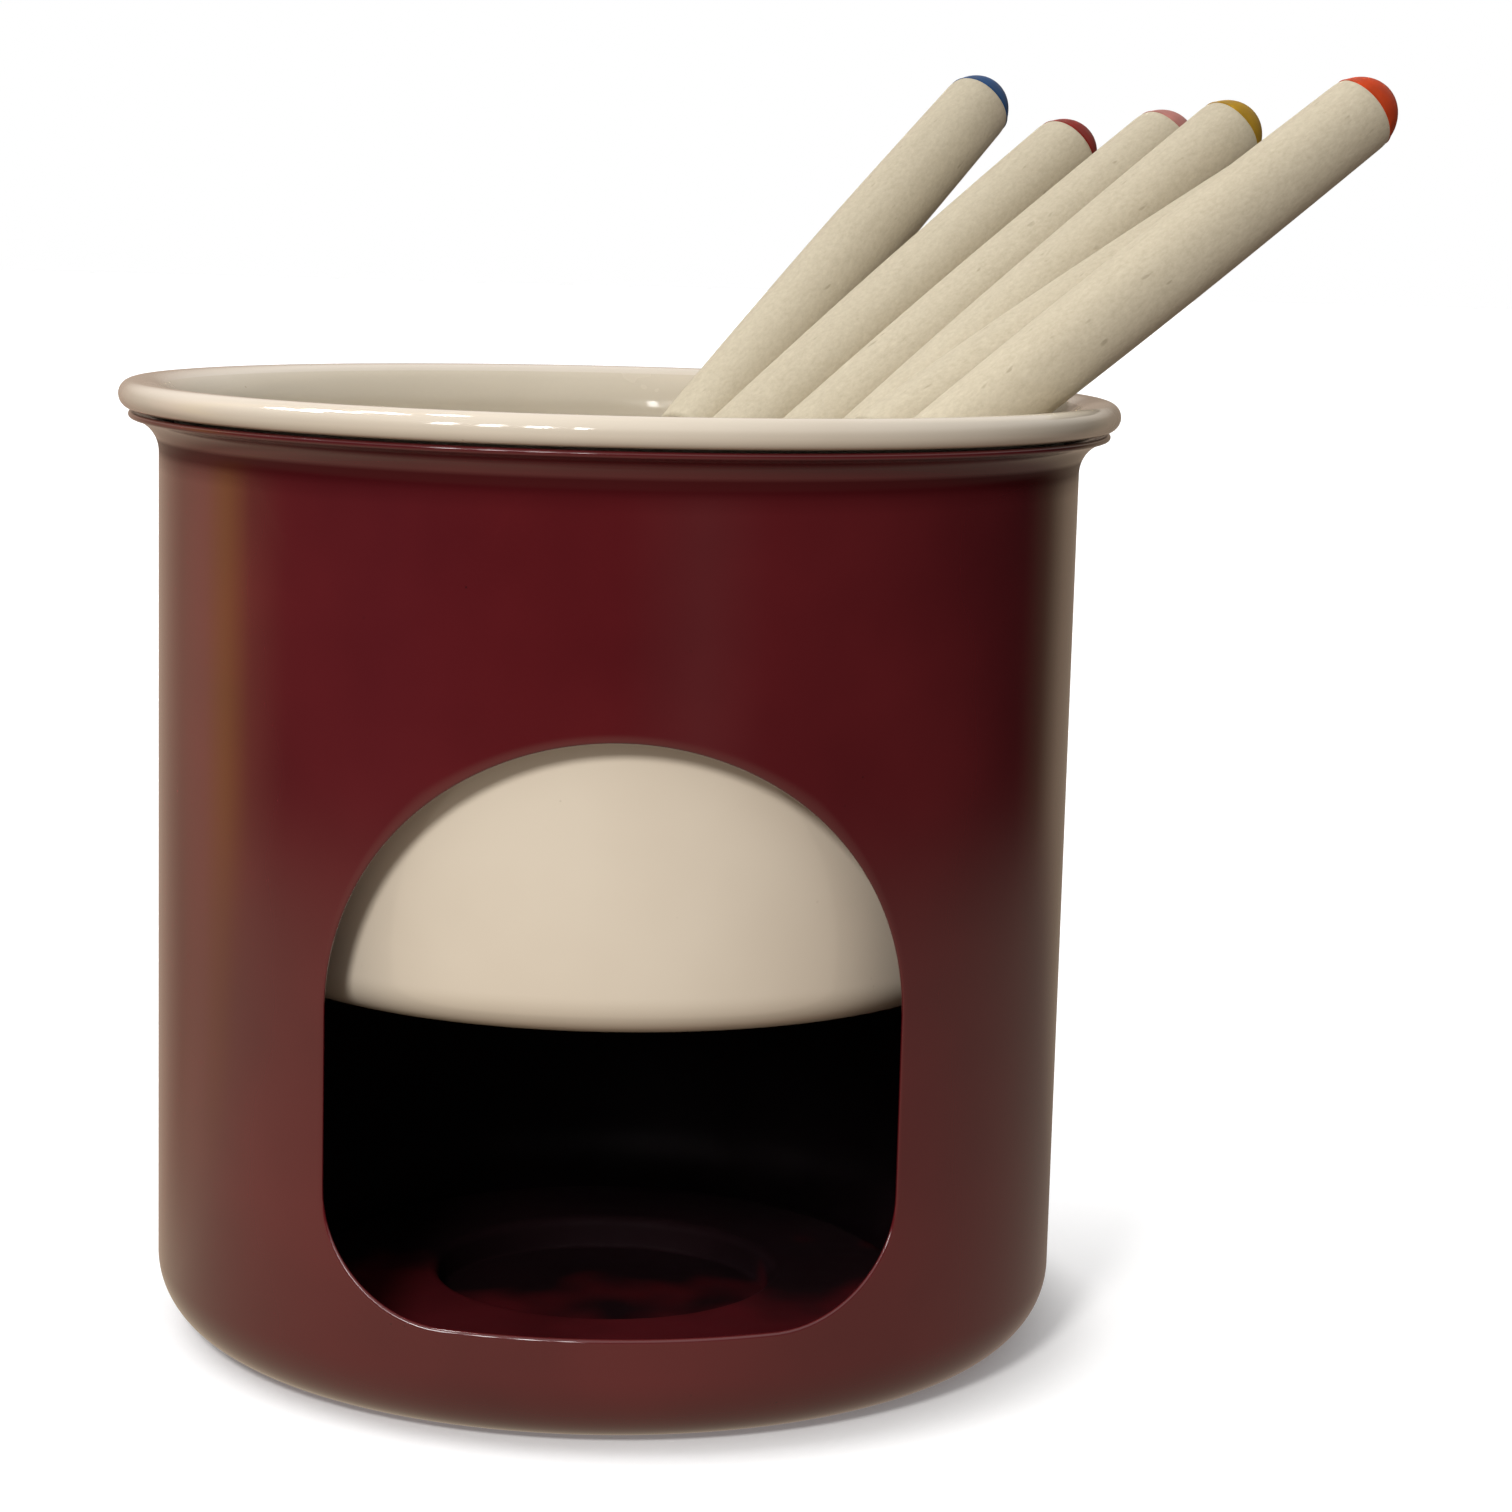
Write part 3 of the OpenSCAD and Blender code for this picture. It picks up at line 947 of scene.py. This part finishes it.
# What the gloss sees: a dark room in front, a warm wall to the left and behind
coords_w = world_node("TexCoord")
split = world_node("SeparateXYZ")
wt.links.new(coords_w.outputs["Generated"], split.inputs[0])
east, north, up = split.outputs
turn = world_math("ARCTAN2", east, world_math("MULTIPLY", north, -1.0))
share = world_math("ADD", world_math("DIVIDE", turn, 2 * math.pi), 0.5)
around = ramp(world_node, [
    (0.000, (0.42, 0.32, 0.25)), (0.07, (0.44, 0.31, 0.23)), (0.12, (0.35, 0.24, 0.17)),
    (0.16, (0.60, 0.35, 0.25)), (0.19, (0.74, 0.46, 0.15)), (0.22, (0.34, 0.18, 0.12)),
    (0.255, (0.09, 0.04, 0.04)), (0.34, (0.06, 0.03, 0.04)), (0.43, (0.01, 0.01, 0.01)),
    (0.50, (0.01, 0.01, 0.01)), (0.555, (0.11, 0.10, 0.09)), (0.60, (0.02, 0.02, 0.02)),
    (0.83, (0.01, 0.01, 0.01)), (0.865, (0.09, 0.07, 0.045)), (0.885, (0.22, 0.17, 0.115)),
    (0.905, (0.30, 0.225, 0.16)), (0.95, (0.25, 0.19, 0.14)), (1.000, (0.42, 0.32, 0.25)),
])
wt.links.new(share, around.inputs[0])
low_share = world_math("ADD", up, 0.5)
sky = ramp(world_node, [
    (0.0, (0, 0, 0)), (0.62, (0, 0, 0)), (0.8, (0.35, 0.34, 0.32)), (1.0, (0.75, 0.73, 0.70)),
])
wt.links.new(low_share, sky.inputs[0])
# Two rows of small lamps, high on the left and lower in front, that glint on the rolled rim
rise = world_math("ARCSINE", up)


def lamp_row(place, limits, along, pitch, brightness):
    """A patch of light between limits in degrees, cut into dashes along one direction."""
    band = 1.0
    for value, (start, stop) in zip(place, limits):
        for edge, operation in ((start, "GREATER_THAN"), (stop, "LESS_THAN")):
            band = world_math("MULTIPLY", world_math(operation, value, math.radians(edge)), band)
    wave = world_math("SINE", world_math("MULTIPLY", along, 360.0 / pitch))
    dashes = world_math("GREATER_THAN", wave, 0.1)
    return world_math("MULTIPLY", world_math("MULTIPLY", band, dashes), brightness)


high_row = lamp_row((turn, rise), ((-106, -86), (33, 75)), rise, 9.5, 45.0)
low_row = lamp_row((turn, rise), ((-48, -8), (13, 27)), turn, 11.0, 18.0)
seen = around.outputs[0]
for extra in (sky.outputs[0], high_row, low_row):
    mix = world_node("Mix", data_type="RGBA", blend_type="ADD")
    mix.inputs["Factor"].default_value = 1.0
    wt.links.new(seen, mix.inputs["A"])
    wt.links.new(extra, mix.inputs["B"])
    seen = mix.outputs["Result"]
# The even light that fills the shade, stronger from above
fill = ramp(world_node, [(0.0, (0.05, 0.05, 0.05)), (0.5, (0.23, 0.23, 0.23)), (1.0, (0.64, 0.64, 0.64))])
wt.links.new(world_math("ADD", world_math("MULTIPLY", up, 0.5), 0.5), fill.inputs[0])

w_out = world_node("OutputWorld")
w_seen = world_node("Background")
w_seen.inputs["Color"].default_value = (1.0, 1.0, 1.0, 1.0)
w_fill = world_node("Background")
wt.links.new(fill.outputs[0], w_fill.inputs["Color"])
w_gloss = world_node("Background")
wt.links.new(seen, w_gloss.inputs["Color"])
w_path = world_node("LightPath")
w_mix_gloss = world_node("MixShader")
wt.links.new(w_path.outputs["Is Glossy Ray"], w_mix_gloss.inputs[0])
wt.links.new(w_fill.outputs[0], w_mix_gloss.inputs[1])
wt.links.new(w_gloss.outputs[0], w_mix_gloss.inputs[2])
w_mix = world_node("MixShader")
wt.links.new(w_path.outputs["Is Camera Ray"], w_mix.inputs[0])
wt.links.new(w_mix_gloss.outputs[0], w_mix.inputs[1])
wt.links.new(w_seen.outputs[0], w_mix.inputs[2])
wt.links.new(w_mix.outputs[0], w_out.inputs["Surface"])


def add_light(name, kind, energy, colour):
    data = bpy.data.lights.new(name, kind)
    data.energy = energy
    data.color = colour
    obj = bpy.data.objects.new(name, data)
    bpy.context.scene.collection.objects.link(obj)
    return obj


# A lamp near the viewer, high on the left, and soft daylight from the left and behind
LAMP_D = 0.42
LAMP_SIZE = 0.075
LAMP_AIM = Vector((0.0, -0.05, 0.07))
lamp_turn, lamp_rise = math.radians(18), math.radians(27)
lamp_way = Vector((-math.sin(lamp_turn) * math.cos(lamp_rise),
                   -math.cos(lamp_turn) * math.cos(lamp_rise), math.sin(lamp_rise)))
lamp = add_light("lamp", "AREA", 2.36 * math.pi * LAMP_D**2, (1.0, 0.985, 0.965))
lamp.data.shape = "DISK"
lamp.data.size = LAMP_SIZE
lamp.location = LAMP_AIM + LAMP_D * lamp_way
lamp.rotation_euler = (-lamp_way).to_track_quat("-Z", "Y").to_euler()
lamp.visible_camera = False
lamp.visible_glossy = False

day_turn, day_rise = math.radians(100), math.radians(55)
day = add_light("daylight", "SUN", 1.5, (0.98, 0.99, 1.0))
day.data.angle = math.radians(50)
day.rotation_euler = Vector((math.sin(day_turn) * math.cos(day_rise),
                             math.cos(day_turn) * math.cos(day_rise),
                             -math.sin(day_rise))).to_track_quat("-Z", "Y").to_euler()
day.visible_glossy = False

# The white table in front of the set, as its gloss and its lower side see it, fading into the dark
card_mat, card_tree, card_add = material("table_glow")
card_coords = card_add("TexCoord")
card_length = card_add("VectorMath")
card_length.operation = "LENGTH"
link(card_tree, card_coords, "Object", card_length, 0)
card_fade = spread(card_tree, card_add, card_length, "Value", 1.0, 0.0, 0.24, 0.52)
card_fade.interpolation_type = "SMOOTHERSTEP"
card_split = card_add("SeparateXYZ")
link(card_tree, card_coords, "Object", card_split, "Vector")
card_back = card_add("Math")
card_back.operation = "MULTIPLY"
card_back.inputs[1].default_value = -1.0
link(card_tree, card_split, "Y", card_back, 0)
card_turn = card_add("Math")
card_turn.operation = "ARCTAN2"
link(card_tree, card_split, "X", card_turn, 0)
link(card_tree, card_back, "Value", card_turn, 1)
card_share = spread(card_tree, card_add, card_turn, "Value", 0.0, 1.0, -math.pi, math.pi)
card_tone = ramp(card_add, [
    (0.25, (0.48, 0.38, 0.28)), (0.42, (0.46, 0.37, 0.28)),
    (0.70, (0.28, 0.21, 0.17)), (0.84, (0.20, 0.15, 0.12)),
])
link(card_tree, card_share, "Result", card_tone, "Fac")
card_glow = card_add("Emission")
link(card_tree, card_tone, "Color", card_glow, "Color")
card_ends = ramp(card_add, [(0.17, (0.0,) * 3), (0.24, (1.0,) * 3), (0.85, (1.0,) * 3), (0.91, (0.0,) * 3)])
link(card_tree, card_share, "Result", card_ends, "Fac")
card_part = card_add("Math")
card_part.operation = "MULTIPLY"
link(card_tree, card_fade, "Result", card_part, 0)
link(card_tree, card_ends, "Color", card_part, 1)
card_clear = card_add("BsdfTransparent")
card_mix = card_add("MixShader")
link(card_tree, card_part, "Value", card_mix, "Fac")
link(card_tree, card_clear, "BSDF", card_mix, 1)
link(card_tree, card_glow, "Emission", card_mix, 2)
card_out = card_add("OutputMaterial")
link(card_tree, card_mix, "Shader", card_out, "Surface")
CARD_R, CARD_Z, CARD_SIDES = 0.6, -0.0004, 48
card_angles = [2 * math.pi * i / CARD_SIDES for i in range(CARD_SIDES)]
card_ring = [(CARD_R * math.sin(a), -CARD_R * math.cos(a), CARD_Z) for a in card_angles]
card = mesh_object("table_glow", card_ring, [tuple(range(CARD_SIDES))], card_mat)
card.visible_camera = False
card.visible_shadow = False

# ---------------------------------------------------------------------- camera
camera = bpy.data.objects.new("camera", bpy.data.cameras.new("camera"))
camera.data.lens = 82.8
camera.data.sensor_width = 36.0
camera.data.clip_start = 0.01
camera.matrix_world = (
    Matrix.Translation((-0.0049, -0.4362, 0.14035))
    @ Matrix.Rotation(math.radians(-2.99), 4, "Z")
    @ Matrix.Rotation(math.radians(81.13), 4, "X")
    @ Matrix.Rotation(math.radians(1.56), 4, "Z")
)
bpy.context.scene.collection.objects.link(camera)
bpy.context.scene.camera = camera
bpy.context.scene.view_settings.view_transform = "Standard"
